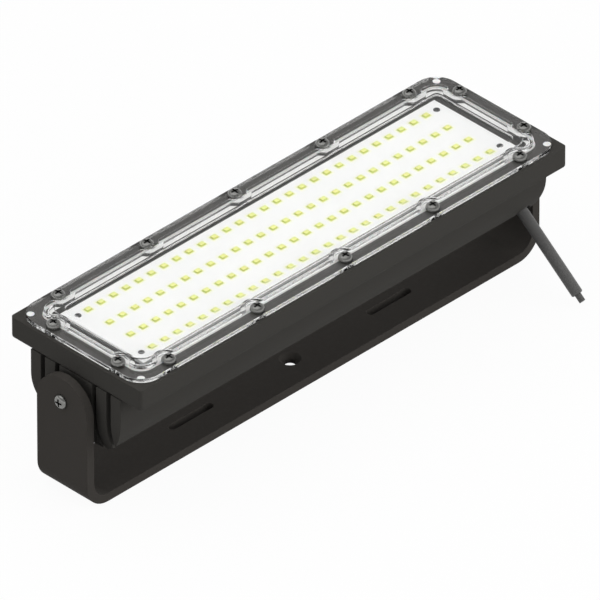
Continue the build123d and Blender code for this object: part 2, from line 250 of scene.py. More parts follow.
# %% Dust on upward faces
dust, inside, out = new_group(
    "Settled dust",
    "ShaderNodeTree",
    {"Amount": ("NodeSocketFloat", 0.2), "Speck Size": ("NodeSocketFloat", 2 * millimetre)},
    {"Dust": "NodeSocketFloat"},
)
upward = part_of(dust, add(dust, "ShaderNodeNewGeometry").outputs["Normal"], "Z")
specks = add(
    dust,
    "ShaderNodeTexNoise",
    {
        "Vector": object_place(dust),
        "Scale": math_node(dust, "DIVIDE", 1.0, inside["Speck Size"]),
        "Detail": 6.0,
        "Roughness": 0.7,
    },
)
clumped = add(
    dust, "ShaderNodeMapRange", {"Value": specks.outputs["Fac"], "From Min": 0.45, "From Max": 0.75}
).outputs["Result"]
facing = add(
    dust, "ShaderNodeMapRange", {"Value": upward, "From Min": 0.3, "From Max": 1.0}
).outputs["Result"]
settled = math_node(dust, "MULTIPLY", math_node(dust, "MULTIPLY", clumped, facing), inside["Amount"])
dust.links.new(settled, out["Dust"])
print("group:", dust.name)

# %% [markdown]
# ## Material helpers
# A material starts as one Principled shader. A value that is the same all over goes straight onto its
# socket. What changes over the surface comes through the groups. Most finishes also need a fine relief,
# and some are kept to a zone of the surface: a rounded rectangle, worked out from Object coordinates. To
# paint a CAD node, the material goes on its object's slots, which leaves the mesh as the CAD made it.

# %% Material helpers
mix_first, mix_second, mix_result = 6, 7, 2


def new_material(name, constants):
    """A material with one Principled shader and these plain values on its sockets."""
    material = bpy.data.materials.new(name)
    material.use_nodes = True
    shader = material.node_tree.nodes["Principled BSDF"]
    for key, value in constants.items():
        shader.inputs[key].default_value = value
    return material, material.node_tree, shader


def place_group(tree, group, values):
    """Put a shared group into a material with its own values."""
    node = tree.nodes.new("ShaderNodeGroup")
    node.node_tree = group
    for key, value in values.items():
        node.inputs[key].default_value = value
    return node


def mix_colours(tree, mask, first, second):
    """The first colour where the mask is 0 and the second where it is 1."""
    mixer = add(tree, "ShaderNodeMix", {0: mask, mix_first: first, mix_second: second}, data_type="RGBA")
    return mixer.outputs[mix_result]


def deepened(colour, share):
    """The same colour, with its channels scaled down."""
    return tuple(channel * share for channel in colour[:3]) + (1,)


def steer(tree, socket, value, low, high):
    """Drive a socket from a 0 to 1 value, between two ends."""
    ranged = add(tree, "ShaderNodeMapRange", {"Value": value, "To Min": low, "To Max": high})
    tree.links.new(ranged.outputs["Result"], socket)


def add_relief(tree, shader, height, depth, strength, over=None):
    """Raise a fine relief on the shader's surface, over the given normal if there is one."""
    values = {"Height": height, "Distance": depth, "Strength": strength}
    if over is not None:
        values["Normal"] = over
    tree.links.new(add(tree, "ShaderNodeBump", values).outputs["Normal"], shader.inputs["Normal"])


def masked_zone(tree, half_x, half_y, corner):
    """1 inside a rounded rectangle that is centred on the origin, seen from above."""
    across = add(tree, "ShaderNodeVectorMath", {0: object_place(tree)}, operation="ABSOLUTE").outputs[0]
    straight_part = (half_x - corner, half_y - corner, 1.0)
    past = add(tree, "ShaderNodeVectorMath", {0: across, 1: straight_part}, operation="SUBTRACT").outputs[0]
    outside = add(tree, "ShaderNodeVectorMath", {0: past, 1: (0, 0, 0)}, operation="MAXIMUM").outputs[0]
    distance = add(tree, "ShaderNodeVectorMath", {0: outside}, operation="LENGTH").outputs["Value"]
    return math_node(tree, "LESS_THAN", distance, corner)


def finish_node(names, material):
    """Give CAD nodes a material on their objects' own slots."""
    for name in names:
        node = nodes[name]
        if not node.material_slots:
            node.data.materials.append(None)
        for slot in node.material_slots:
            slot.link = "OBJECT"
            slot.material = material


print("material helpers ready")

# %% [markdown]
# ## Painted metal
# The housing is an aluminium casting and the bracket a bent steel strip. Both are sprayed a warm charcoal
# that hardly shines. What tells them apart is the texture: the casting is rougher and patchier, the strip
# smoother. Both get the same recipe with different sizes, so one function makes them. The middle of the
# casting's top, as far out as the seal, is left bare and pale, so the paint of the housing is masked
# there.

# %% Paint for the casting and the strip
worn_paint = (0.085, 0.083, 0.08, 1)
wear_strength = 0.15
paint_dust = (0.25, 0.24, 0.22, 1)
cover_low, cover_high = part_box("lens_cover")
rim_to_seal = 9.05 * millimetre
bare_corner = 8.0 * millimetre
bare_zone = (cover_high.x - rim_to_seal, cover_high.y - rim_to_seal, bare_corner)
bare_casting = (0.86, 0.86, 0.85, 1)
seal_land = cover_low.z - 0.1 * millimetre


def painted_metal(name, colour, pale, roughness, grain, depth, masked=None):
    """Dull paint over metal: patchy colour, a fine raised grain, paler edges and a little dust."""
    material, tree, paint = new_material(name, {"Specular IOR Level": 0.05})
    skin = place_group(tree, skin_grain, {"Grain Size": grain, "Patch Size": 40 * millimetre})
    edges = place_group(tree, worn_edges, {"Radius": 0.5 * millimetre})
    settled = place_group(tree, dust, {"Amount": 0.03})
    patchy = mix_colours(tree, skin.outputs["Patches"], colour, pale)
    edge_tone = math_node(tree, "MULTIPLY", edges.outputs["Wear"], wear_strength)
    thinned = mix_colours(tree, edge_tone, patchy, worn_paint)
    skin_colour = mix_colours(tree, settled.outputs["Dust"], thinned, paint_dust)
    if masked:
        zone = masked_zone(tree, *masked)
        height = part_of(tree, object_place(tree), "Z")
        zone = math_node(tree, "MULTIPLY", zone, math_node(tree, "GREATER_THAN", height, seal_land))
        skin_colour = mix_colours(tree, zone, skin_colour, bare_casting)
    tree.links.new(skin_colour, paint.inputs["Base Color"])
    low, high = roughness - 0.06, roughness + 0.08
    steer(tree, paint.inputs["Roughness"], skin.outputs["Patches"], low, high)
    add_relief(tree, paint, skin.outputs["Height"], depth, strength=0.6, over=edges.outputs["Normal"])
    return material


cast_paint = painted_metal(
    "cast_housing_paint",
    colour=(0.045, 0.043, 0.0395, 1),
    pale=(0.049, 0.047, 0.043, 1),
    roughness=0.72,
    grain=0.45 * millimetre,
    depth=0.04 * millimetre,
    masked=bare_zone,
)
strip_paint = painted_metal(
    "bracket_strip_paint",
    colour=(0.046, 0.042, 0.038, 1),
    pale=(0.0495, 0.0455, 0.0415, 1),
    roughness=0.7,
    grain=0.3 * millimetre,
    depth=0.02 * millimetre,
)
finish_node(["housing"], cast_paint)
finish_node(["u_bracket"], strip_paint)
print("painted:", cast_paint.name, strip_paint.name)

# %% [markdown]
# ## Bright steel
# The screws and spacers are plated steel. Polished plating is a metal shader with low roughness. The tool
# marks on a turned head are very fine, so a small noise drives both the roughness and a faint bump.
# Inside a cross recess the shade is painted in: the recess gets its own, nearly black version of the plating.
# The board's screws are darker too.

# %% Plated steel


def plated_steel(name, colour, roughness):
    """Bright plated metal with fine tool marks and darker specks in the plating."""
    material, tree, metal = new_material(name, {"Metallic": 1.0})
    skin = place_group(tree, skin_grain, {"Grain Size": 0.25 * millimetre, "Patch Size": 3 * millimetre})
    edges = place_group(tree, worn_edges, {"Radius": 0.12 * millimetre})
    darker = deepened(colour, share=0.7)
    tree.links.new(mix_colours(tree, skin.outputs["Patches"], darker, colour), metal.inputs["Base Color"])
    low, high = roughness * 0.6, roughness * 1.5
    steer(tree, metal.inputs["Roughness"], skin.outputs["Height"], low, high)
    mark_depth = 0.004 * millimetre
    add_relief(tree, metal, skin.outputs["Height"], mark_depth, strength=0.5, over=edges.outputs["Normal"])
    return material


screw_plating = plated_steel("screw_plating", (0.25, 0.25, 0.24, 1), roughness=0.26)
# Painted shade: a nearly black plating for the inside of each cross recess.
recess_shade = plated_steel("recess_shade", (0.012, 0.012, 0.012, 1), roughness=0.6)
dot_plating = plated_steel("dot_plating", (0.10, 0.10, 0.10, 1), roughness=0.4)
spacer_plating = plated_steel("spacer_plating", (0.45, 0.44, 0.43, 1), roughness=0.35)
finish_node(["pivot_spacer_left", "pivot_spacer_right"], spacer_plating)
print("plated:", screw_plating.name, spacer_plating.name)

# %% [markdown]
# ## Rubber, plastics and resin
# The jacket, the bush, the seal, the plugs and the washers are soft or moulded pieces. They have no metal
# shine. One function makes them all: a colour with slow patches, a roughness and a fine bump. The paler
# ones let a little light in below their surface.

# %% Moulded pieces
plastic_dust = (0.4, 0.39, 0.37, 1)


def moulded(name, colour, roughness, glow=0.0):
    """A moulded or drawn plastic: near-even colour, a slight grain and, with a glow, a lit inside."""
    material, tree, plastic = new_material(
        name, {"Subsurface Weight": glow, "Subsurface Scale": 1.5 * millimetre}
    )
    skin = place_group(tree, skin_grain, {"Grain Size": 0.6 * millimetre, "Patch Size": 12 * millimetre})
    settled = place_group(tree, dust, {"Amount": 0.08, "Speck Size": 1 * millimetre})
    tone = mix_colours(tree, skin.outputs["Patches"], deepened(colour, share=0.82), colour)
    dusty = mix_colours(tree, settled.outputs["Dust"], tone, plastic_dust)
    tree.links.new(dusty, plastic.inputs["Base Color"])
    low, high = roughness - 0.05, roughness + 0.1
    steer(tree, plastic.inputs["Roughness"], skin.outputs["Patches"], low, high)
    add_relief(tree, plastic, skin.outputs["Height"], depth=0.02 * millimetre, strength=0.5)
    return material


jacket_rubber = moulded("jacket_rubber", (0.085, 0.084, 0.082, 1), roughness=0.45)
core_plastic = moulded("core_plastic", (0.075, 0.074, 0.072, 1), roughness=0.5)
bush_rubber = moulded("bush_rubber", (0.02, 0.02, 0.02, 1), roughness=0.65)
seal_silicone = moulded("seal_silicone", (0.62, 0.62, 0.6, 1), roughness=0.4, glow=0.2)
white_nylon = moulded("white_nylon", (0.95, 0.95, 0.94, 1), roughness=0.35, glow=0.15)
wire_plastic = moulded("wire_plastic", (0.5, 0.06, 0.04, 1), roughness=0.4)
pad_silicone = moulded("pad_silicone", (0.35, 0.37, 0.4, 1), roughness=0.6)
potting_resin = moulded("potting_resin", (0.03, 0.03, 0.03, 1), roughness=0.25)

lead.data.materials.append(jacket_rubber)
moulded_nodes = {
    "cable_core": core_plastic,
    "cable_grommet": bush_rubber,
    "cover_gasket": seal_silicone,
    "corner_plugs": white_nylon,
    "friction_washer_left": white_nylon,
    "friction_washer_right": white_nylon,
    "inner_wires": wire_plastic,
    "thermal_pad": pad_silicone,
    "potting_plug": potting_resin,
}
for name, plastic in moulded_nodes.items():
    finish_node([name], plastic)
print("moulded finishes on", len(moulded_nodes), "CAD nodes and the lead")

# %% [markdown]
# ## The board
# The board is white all over, with a matt solder mask that is printed on, so it has a very faint weave
# from the glass cloth beneath. The cover keeps some light from it. A little light of its own makes up for
# that, which also stands for the light that the white mask throws about inside the real cover.

# %% White board
board_white, tree, mask = new_material(
    "board_white", {"Roughness": 0.45, "Emission Color": (1, 1, 1, 1), "Emission Strength": 0.04}
)
weave = add(
    tree,
    "ShaderNodeTexWave",
    {"Vector": object_place(tree), "Scale": 500.0, "Distortion": 1.5, "Detail": 2.0},
    bands_direction="DIAGONAL",
)
add_relief(tree, mask, weave.outputs["Fac"], depth=0.01 * millimetre, strength=0.4)
skin = place_group(tree, skin_grain, {"Grain Size": 0.4 * millimetre, "Patch Size": 25 * millimetre})
dull_white, clean_white = (0.86, 0.87, 0.87, 1), (0.93, 0.93, 0.92, 1)
bare_mask = mix_colours(tree, skin.outputs["Patches"], dull_white, clean_white)
finish_node(["led_board"], board_white)
print("board:", board_white.name)

# %% [markdown]
# Round each LED the white is painted yellow. A wide faint ring is painted light: the yellow that the
# phosphor throws on the board. A narrow deeper ring is painted shade for the shaded sides of each package.
# The LEDs repeat on a grid, so the distance to the nearest one can be worked out from Object coordinates:
# a FRACT node folds all columns into one, and an absolute value folds the rows. Both rings then follow
# from that distance.

# %% Painted yellow glow and shade round each LED
led_columns = 28
led_pitch = 9 * millimetre
inner_row, outer_row = 7.5 * millimetre, 23 * millimetre
led_length, led_width = 3.5 * millimetre, 2.8 * millimetre


def gap(tree, place, centre):
    """How far a coordinate is from this centre."""
    return math_node(tree, "ABSOLUTE", math_node(tree, "SUBTRACT", place, centre))


spot_x = part_of(tree, object_place(tree), "X")
spot_y = part_of(tree, object_place(tree), "Y")
in_column = math_node(tree, "FRACT", math_node(tree, "DIVIDE", spot_x, led_pitch))
off_x = math_node(tree, "MULTIPLY", gap(tree, in_column, 0.5), led_pitch)
from_middle = math_node(tree, "ABSOLUTE", spot_y)
off_y = math_node(tree, "MINIMUM", gap(tree, from_middle, inner_row), gap(tree, from_middle, outer_row))
past_x = math_node(tree, "MAXIMUM", math_node(tree, "SUBTRACT", off_x, led_length / 2), 0.0)
past_y = math_node(tree, "MAXIMUM", math_node(tree, "SUBTRACT", off_y, led_width / 2), 0.0)
squares = [math_node(tree, "MULTIPLY", past, past) for past in (past_x, past_y)]
from_led = math_node(tree, "SQRT", math_node(tree, "ADD", *squares))
among_leds = math_node(tree, "LESS_THAN", math_node(tree, "ABSOLUTE", spot_x), led_pitch * led_columns / 2)
painted_glow_and_shade = bare_mask
# Painted light and shade: first a wide faint painted glow from the phosphor, then a narrow deeper painted
# shade at each package's sides.
for painted_tint, strength, full_until, gone_at in (
    ((0.93, 0.94, 0.60, 1), 0.6, 0.4 * millimetre, 2.2 * millimetre),
    ((0.72, 0.78, 0.31, 1), 1.0, 0.42 * millimetre, 0.7 * millimetre),
):
    near = add(
        tree,
        "ShaderNodeMapRange",
        {"Value": from_led, "From Min": full_until, "From Max": gone_at, "To Min": strength, "To Max": 0.0},
    ).outputs["Result"]
    painted_glow_and_shade = mix_colours(tree, math_node(tree, "MULTIPLY", near, among_leds), painted_glow_and_shade, painted_tint)
tree.links.new(painted_glow_and_shade, mask.inputs["Base Color"])
print("tint round", led_columns, "columns of LEDs")

# %% [markdown]
# ## The LEDs
# There are 112 LEDs in four rows of 28. Each is a small oblong package with rounded corners, filled with
# yellow phosphor that stands a little proud. Geometry Nodes suit this: a grid of points, one package
# drawn once from a rounded rectangle, and an instance of it on every point. The frame and the phosphor
# are separate pieces, because they are separate solids in the CAD, so one tree makes either of them from
# its inputs. The pitch, the outer rows and the heights come from the boxes of the CAD nodes. Three small
# helpers come first: they give a geometry its material, lift it, and weld points that coincide.

# %% Helpers for geometry trees
weld = 0.001 * millimetre


def with_material(tree, geometry, material):
    """The geometry with this material on every face."""
    values = {"Geometry": geometry, "Material": material}
    return add(tree, "GeometryNodeSetMaterial", values).outputs["Geometry"]


def lifted(tree, geometry, rise):
    """The geometry moved up by this much."""
    shift = add(tree, "ShaderNodeCombineXYZ", {"Z": rise}).outputs[0]
    values = {"Geometry": geometry, "Translation": shift}
    return add(tree, "GeometryNodeTransform", values).outputs["Geometry"]


def welded(tree, geometry):
    """The geometry with points that coincide made one."""
    values = {"Geometry": geometry, "Distance": weld}
    return add(tree, "GeometryNodeMergeByDistance", values).outputs["Geometry"]


print("geometry helpers ready")

# %% Tree for a grid of small blocks
block_grid, inside, out = new_group(
    "Block grid",
    "GeometryNodeTree",
    {
        "Columns": ("NodeSocketInt", led_columns),
        "Pitch": ("NodeSocketFloat", led_pitch),
        "Inner Row": ("NodeSocketFloat", inner_row),
        "Outer Row": ("NodeSocketFloat", outer_row),
        "Length": ("NodeSocketFloat", led_length),
        "Width": ("NodeSocketFloat", led_width),
        "Corner": ("NodeSocketFloat", 0.4 * millimetre),
        "Bottom": ("NodeSocketFloat", 0.0),
        "Wall Height": ("NodeSocketFloat", 0.5 * millimetre),
        "Crown Height": ("NodeSocketFloat", 0.2 * millimetre),
        "Crown Share": ("NodeSocketFloat", 0.8),
        "Finish": ("NodeSocketMaterial", None),
    },
    {"Geometry": "NodeSocketGeometry"},
)
block_grid.is_modifier = True
grid_length = math_node(
    block_grid, "MULTIPLY", inside["Pitch"], math_node(block_grid, "SUBTRACT", inside["Columns"], 1.0)
)
rows = [
    add(
        block_grid,
        "GeometryNodeMeshGrid",
        {
            "Size X": grid_length,
            "Size Y": math_node(block_grid, "MULTIPLY", inside[row], 2.0),
            "Vertices X": inside["Columns"],
            "Vertices Y": 2,
        },
    ).outputs["Mesh"]
    for row in ("Inner Row", "Outer Row")
]
all_rows = add(block_grid, "GeometryNodeJoinGeometry")
for row in rows:
    block_grid.links.new(row, all_rows.inputs[0])
oblong = add(
    block_grid,
    "GeometryNodeCurvePrimitiveQuadrilateral",
    {"Width": inside["Length"], "Height": inside["Width"]},
).outputs["Curve"]
rounded_oblong = add(
    block_grid,
    "GeometryNodeFilletCurve",
    {"Curve": oblong, "Radius": inside["Corner"], "Count": 2},
    mode="POLY",
).outputs["Curve"]
base_face = add(block_grid, "GeometryNodeFillCurve", {"Curve": rounded_oblong}, mode="NGONS").outputs["Mesh"]
walls = add(
    block_grid, "GeometryNodeExtrudeMesh", {"Mesh": base_face, "Offset Scale": inside["Wall Height"]}
)
crown = add(
    block_grid,
    "GeometryNodeExtrudeMesh",
    {
        "Mesh": walls.outputs["Mesh"],
        "Selection": walls.outputs["Top"],
        "Offset Scale": inside["Crown Height"],
    },
)
narrowed = add(
    block_grid,
    "GeometryNodeScaleElements",
    {"Geometry": crown.outputs["Mesh"], "Selection": crown.outputs["Top"], "Scale": inside["Crown Share"]},
)
underside = add(block_grid, "GeometryNodeFlipFaces", {"Mesh": base_face}).outputs["Mesh"]
block_parts = add(block_grid, "GeometryNodeJoinGeometry")
for part in (narrowed.outputs["Geometry"], underside):
    block_grid.links.new(part, block_parts.inputs[0])
block = welded(block_grid, block_parts.outputs[0])
raised = lifted(block_grid, all_rows.outputs[0], inside["Bottom"])
placed = add(block_grid, "GeometryNodeInstanceOnPoints", {"Points": raised, "Instance": block})
real = add(block_grid, "GeometryNodeRealizeInstances", {"Geometry": placed.outputs["Instances"]})
painted = with_material(block_grid, real.outputs["Geometry"], inside["Finish"])
block_grid.links.new(painted, out["Geometry"])
print("tree:", block_grid.name, "with", len(block_grid.nodes), "nodes")

# %% Run a tree and keep its plain mesh
sharp_angle = math.radians(35)


def grow(name, tree, values, points=()):
    """Run a Geometry Nodes tree over the points and keep the result as a piece with a plain mesh."""
    point_mesh = bpy.data.meshes.new(name + "_points")
    point_mesh.from_pydata([tuple(point) for point in points], [], [])
    holder = bpy.data.objects.new(name + "_holder", point_mesh)
    bpy.context.scene.collection.objects.link(holder)
    modifier = holder.modifiers.new("Layout", "NODES")
    modifier.node_group = tree
    for item in tree.interface.items_tree:
        if item.in_out == "INPUT" and item.name in values:
            modifier[item.identifier] = values[item.name]
    graph = bpy.context.evaluated_depsgraph_get()
    mesh = bpy.data.meshes.new_from_object(holder.evaluated_get(graph), depsgraph=graph)
    bpy.data.objects.remove(holder)
    mesh.name = name
    mesh.shade_smooth()
    mesh.set_sharp_from_angle(angle=sharp_angle)
    piece = bpy.data.objects.new(name, mesh)
    bpy.context.scene.collection.objects.link(piece)
    return piece


def stand_in(piece, body, node):
    """The piece rides on the body and replaces the CAD node, which is hidden."""
    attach(piece, body)
    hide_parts(node)
    print(piece.name, "replaces", node, "with", len(piece.data.polygons), "faces")


print("grow() and stand_in() ready")

# %% [markdown]
# The phosphor is silicone filled with yellow powder. It looks soft and slightly grainy, and it spreads
# light inside, so it takes some subsurface scattering. The frame round it has the phosphor's yellow,
# painted deeper as a painted shade for the shaded sides of each package.

# %% Phosphor and frame finishes


def phosphor_like(name, colour, deep):
    """A filled silicone or resin that spreads light: grainy colour and a soft inside."""
    material, tree, resin = new_material(
        name, {"Roughness": 0.4, "Subsurface Weight": 0.15, "Subsurface Scale": 0.3 * millimetre}
    )
    skin = place_group(tree, skin_grain, {"Grain Size": 0.12 * millimetre, "Patch Size": 9 * millimetre})
    tree.links.new(mix_colours(tree, skin.outputs["Patches"], deep, colour), resin.inputs["Base Color"])
    add_relief(tree, resin, skin.outputs["Height"], depth=0.01 * millimetre, strength=0.5)
    return material


phosphor = phosphor_like("led_phosphor", colour=(0.95, 0.98, 0.34, 1), deep=(0.9, 0.93, 0.29, 1))
# The frame's deeper yellow is painted shade for the sides of each package.
frame_resin_painted_shade = phosphor_like(
    "frame_resin_painted_shade", colour=(0.62, 0.67, 0.15, 1), deep=(0.57, 0.62, 0.12, 1)
)
print("LED finishes:", phosphor.name, frame_resin_painted_shade.name)

# %% Lay out the LEDs
led_low, led_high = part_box("led_packages")
fill_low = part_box("led_phosphors")[0]
fill_margin = 0.25 * millimetre
fill_crown = 0.06 * millimetre
led_layout = {
    "Columns": led_columns,
    "Pitch": (led_high.x - led_low.x - led_length) / (led_columns - 1),
    "Inner Row": inner_row,
    "Outer Row": (led_high.y - led_low.y - led_width) / 2,
}
frame_top = led_high.z - fill_crown
frame_height = frame_top - led_low.z
frame_wall_share = 0.75
frames = grow(
    "led_frames",
    block_grid,
    {
        **led_layout,
        "Length": led_length,
        "Width": led_width,
        "Corner": 0.5 * millimetre,
        "Bottom": led_low.z,
        "Wall Height": frame_height * frame_wall_share,
        "Crown Height": frame_height * (1 - frame_wall_share),
        "Crown Share": 0.9,
        "Finish": frame_resin_painted_shade,
    },
)
stand_in(frames, "head", "led_packages")
phosphors = grow(
    "led_phosphor_fills",
    block_grid,
    {
        **led_layout,
        "Length": led_length - 2 * fill_margin,
        "Width": led_width - 2 * fill_margin,
        "Corner": 0.4 * millimetre,
        "Bottom": fill_low.z,
        "Wall Height": frame_top - fill_low.z,
        "Crown Height": fill_crown,
        "Crown Share": 0.8,
        "Finish": phosphor,
    },
)
stand_in(phosphors, "head", "led_phosphors")

# %% [markdown]
# ## The screws
# Fourteen screws hold the cover, four hold the board and two are the pivots. All are pan heads with a
# cross recess, so one tree draws them all from a few sizes. The head is a surface of revolution: a flat
# grid whose rows become rings. Two tapered blocks cut the recess. The points come in as the vertices of
# the input mesh, and a seeded random spin turns each recess a little, as a screwdriver leaves it.

# %% Tree for pan-head screws
pan_screws, inside, out = new_group(
    "Pan-head screws",
    "GeometryNodeTree",
    {
        "Points": ("NodeSocketGeometry", None),
        "Head Diameter": ("NodeSocketFloat", 8 * millimetre),
        "Head Height": ("NodeSocketFloat", 2.6 * millimetre),
        "Shank Diameter": ("NodeSocketFloat", 3 * millimetre),
        "Shank Length": ("NodeSocketFloat", 10 * millimetre),
        "Recess Reach": ("NodeSocketFloat", 4.6 * millimetre),
        "Recess Width": ("NodeSocketFloat", 0.9 * millimetre),
        "Recess Depth": ("NodeSocketFloat", 1.6 * millimetre),
        "Direction": ("NodeSocketVector", (0.0, 0.0, 0.0)),
        "Spin": ("NodeSocketFloat", 0.2),
        "Seed": ("NodeSocketInt", 3),
        "Finish": ("NodeSocketMaterial", None),
        "Recess Painted Shade": ("NodeSocketMaterial", None),
    },
    {"Geometry": "NodeSocketGeometry"},
)
pan_screws.is_modifier = True
turns = 36
rings = 10
side_bulge, top_flatness = 0.6, 0.8
sheet = add(
    pan_screws,
    "GeometryNodeMeshGrid",
    {"Size X": 1.0, "Size Y": 1.0, "Vertices X": turns + 1, "Vertices Y": rings},
).outputs["Mesh"]
at = add(pan_screws, "ShaderNodeSeparateXYZ", {0: add(pan_screws, "GeometryNodeInputPosition").outputs[0]})
angle = math_node(pan_screws, "MULTIPLY", at.outputs["X"], 2 * math.pi)
first_ring = 1 / (rings - 1)
row_share = math_node(pan_screws, "ADD", at.outputs["Y"], 0.5)
dome_share = add(
    pan_screws, "ShaderNodeMapRange", {"Value": row_share, "From Min": first_ring, "From Max": 1.0}
).outputs["Result"]
dome_angle = math_node(pan_screws, "MULTIPLY", dome_share, math.pi / 2)
past_centre = math_node(pan_screws, "GREATER_THAN", row_share, first_ring / 2)
level = math_node(pan_screws, "MAXIMUM", math_node(pan_screws, "COSINE", dome_angle), 0.0)
spread = math_node(pan_screws, "MULTIPLY", math_node(pan_screws, "POWER", level, side_bulge), past_centre)
radius = math_node(
    pan_screws, "MULTIPLY", spread, math_node(pan_screws, "MULTIPLY", inside["Head Diameter"], 0.5)
)
rise = math_node(
    pan_screws,
    "MULTIPLY",
    math_node(pan_screws, "POWER", math_node(pan_screws, "SINE", dome_angle), top_flatness),
    inside["Head Height"],
)
ring_place = add(
    pan_screws,
    "ShaderNodeCombineXYZ",
    {
        "X": math_node(pan_screws, "MULTIPLY", radius, math_node(pan_screws, "COSINE", angle)),
        "Y": math_node(pan_screws, "MULTIPLY", radius, math_node(pan_screws, "SINE", angle)),
        "Z": rise,
    },
).outputs[0]
wrapped = add(
    pan_screws, "GeometryNodeSetPosition", {"Geometry": sheet, "Position": ring_place}
).outputs["Geometry"]
head = with_material(pan_screws, welded(pan_screws, wrapped), inside["Finish"])
print("head drawn from", turns, "by", rings, "grid")

# %% Cut the recess, add the shank and place the screws
recess_size = [
    add(
        pan_screws, "ShaderNodeCombineXYZ", {"X": inside[x], "Y": inside[y], "Z": inside["Recess Depth"]}
    ).outputs[0]
    for x, y in (("Recess Reach", "Recess Width"), ("Recess Width", "Recess Reach"))
]
recess_taper = (0.62, 0.62, 1.0)
recess_sink = math_node(pan_screws, "MULTIPLY", inside["Recess Depth"], 0.25)
recess_top = math_node(pan_screws, "SUBTRACT", inside["Head Height"], recess_sink)
cutters = []
for size in recess_size:
    bar = add(pan_screws, "GeometryNodeMeshCube", {"Size": size}).outputs["Mesh"]
    spot = add(pan_screws, "GeometryNodeInputPosition").outputs[0]
    below = math_node(pan_screws, "LESS_THAN", part_of(pan_screws, spot, "Z"), 0.0)
    taper = add(
        pan_screws, "ShaderNodeVectorMath", {0: spot, 1: recess_taper}, operation="MULTIPLY"
    ).outputs[0]
    tapered = add(
        pan_screws, "GeometryNodeSetPosition", {"Geometry": bar, "Selection": below, "Position": taper}
    ).outputs["Geometry"]
    # The walls that the cutters leave in the head carry the recess's painted shade.
    dark = with_material(pan_screws, tapered, inside["Recess Painted Shade"])
    cutters.append(lifted(pan_screws, dark, recess_top))
cut = add(pan_screws, "GeometryNodeMeshBoolean", {"Mesh 1": head}, operation="DIFFERENCE", solver="EXACT")
for cutter in cutters:
    pan_screws.links.new(cutter, cut.inputs["Mesh 2"])
shank = add(
    pan_screws,
    "GeometryNodeMeshCylinder",
    {
        "Vertices": 20,
        "Radius": math_node(pan_screws, "MULTIPLY", inside["Shank Diameter"], 0.5),
        "Depth": inside["Shank Length"],
    },
).outputs["Mesh"]
shank_drop = math_node(pan_screws, "MULTIPLY", inside["Shank Length"], -0.5)
lowered = lifted(pan_screws, with_material(pan_screws, shank, inside["Finish"]), shank_drop)
screw = add(pan_screws, "GeometryNodeJoinGeometry")
for part in (cut.outputs["Mesh"], lowered):
    pan_screws.links.new(part, screw.inputs[0])
least, most, chosen = 2, 3, 1
spin_back = math_node(pan_screws, "MULTIPLY", inside["Spin"], -1.0)
random_spin = add(
    pan_screws,
    "FunctionNodeRandomValue",
    {least: spin_back, most: inside["Spin"], "Seed": inside["Seed"]},
    data_type="FLOAT",
).outputs[chosen]
spin_angles = add(pan_screws, "ShaderNodeCombineXYZ", {"Z": random_spin}).outputs[0]
spun = add(
    pan_screws,
    "FunctionNodeRotateRotation",
    {
        0: add(pan_screws, "FunctionNodeEulerToRotation", {0: inside["Direction"]}).outputs[0],
        1: add(pan_screws, "FunctionNodeEulerToRotation", {0: spin_angles}).outputs[0],
    },
    rotation_space="LOCAL",
).outputs[0]
placed = add(
    pan_screws,
    "GeometryNodeInstanceOnPoints",
    {"Points": inside["Points"], "Instance": screw.outputs[0], "Rotation": spun},
)
real = add(pan_screws, "GeometryNodeRealizeInstances", {"Geometry": placed.outputs["Instances"]})
pan_screws.links.new(real.outputs["Geometry"], out["Geometry"])
print("tree:", pan_screws.name, "with", len(pan_screws.nodes), "nodes")

# %% Screws of the cover
screw_low, screw_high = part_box("cover_screws")
cover_head_diameter = 7.8 * millimetre
cover_head_height = 2.7 * millimetre
screw_seat = screw_high.z - cover_head_height
end_x = screw_high.x - cover_head_diameter / 2
side_y = screw_high.y - cover_head_diameter / 2
side_step = 63.15 * millimetre
end_y = 23.2 * millimetre
screw_places = [(side_step * i, y, screw_seat) for i in (-2, -1, 0, 1, 2) for y in (-side_y, side_y)]
screw_places += [(x, y, screw_seat) for x in (-end_x, end_x) for y in (-end_y, end_y)]
cover_screws = grow(
    "cover_screw_set",
    pan_screws,
    {
        "Head Diameter": cover_head_diameter,
        "Head Height": cover_head_height,
        "Shank Diameter": 3.0 * millimetre,
        "Shank Length": screw_seat - screw_low.z,
        "Recess Reach": 5.2 * millimetre,
        "Recess Width": 1.2 * millimetre,
        "Recess Depth": 2.4 * millimetre,
        "Finish": screw_plating,
        "Recess Painted Shade": recess_shade,
    },
    screw_places,
)
stand_in(cover_screws, "head", "cover_screws")

# %% Screws of the board
dot_low, dot_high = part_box("board_screws")
dot_diameter = 3.6 * millimetre
dot_height = 0.7 * millimetre
dot_places = [
    (x, y, dot_high.z - dot_height)
    for x in (dot_low.x + dot_diameter / 2, dot_high.x - dot_diameter / 2)
    for y in (dot_low.y + dot_diameter / 2, dot_high.y - dot_diameter / 2)
]
board_screws = grow(
    "board_screw_set",
    pan_screws,
    {
        "Head Diameter": dot_diameter,
        "Head Height": dot_height,
        "Shank Diameter": 2.0 * millimetre,
        "Shank Length": dot_high.z - dot_height - dot_low.z,
        "Recess Reach": 2.2 * millimetre,
        "Recess Width": 0.5 * millimetre,
        "Recess Depth": 0.6 * millimetre,
        "Seed": 8,
        "Finish": dot_plating,
        "Recess Painted Shade": recess_shade,
    },
    dot_places,
)
stand_in(board_screws, "head", "board_screws")

